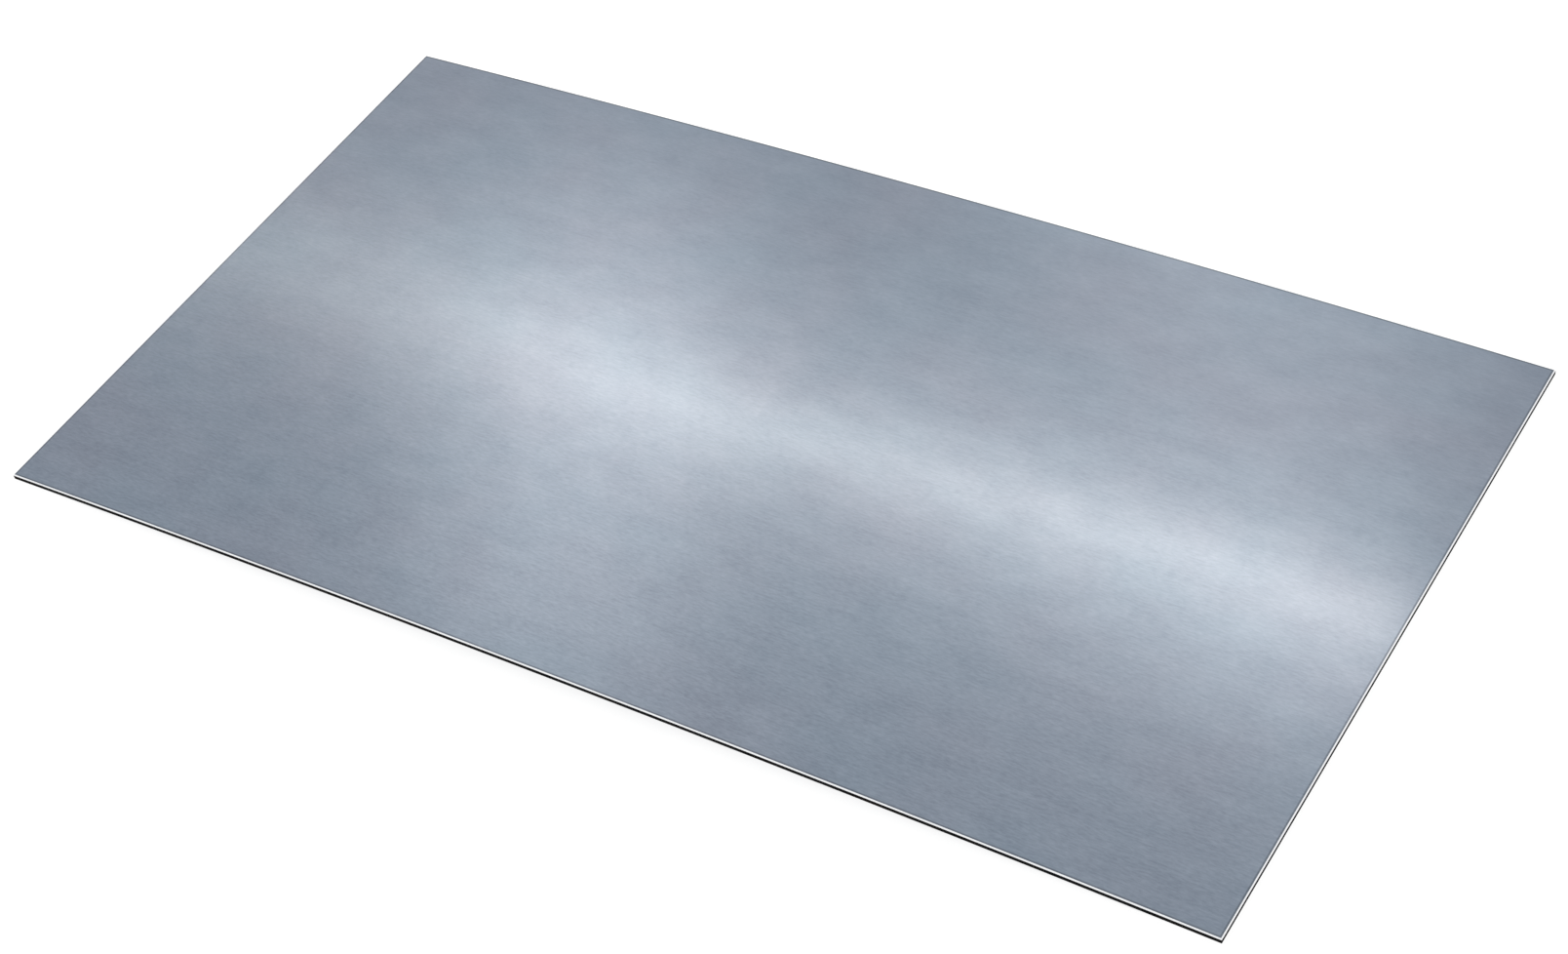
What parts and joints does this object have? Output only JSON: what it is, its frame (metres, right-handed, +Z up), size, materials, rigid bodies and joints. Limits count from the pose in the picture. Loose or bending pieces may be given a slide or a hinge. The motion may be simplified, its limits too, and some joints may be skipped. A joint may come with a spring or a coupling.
{
  "type": "steel plate",
  "caption": "Thin rectangular steel plate with brushed faces, square-cut sides, broken arrises and a slight lengthwise bow.",
  "frame": {"origin": "on the floor under the middle of the plate, which lies crown up on the lower edges of its two ends", "axes": "+X along the length, which is the rolling and brushing direction; +Y across the width; +Z up through the thickness"},
  "size_m": [1.0002, 0.54, 0.0122],
  "materials": {
    "brushed_steel": "brushed along the length"
  },
  "bodies": {
    "root": {"steel_plate": "brushed_steel"}
  },
  "joints": []
}
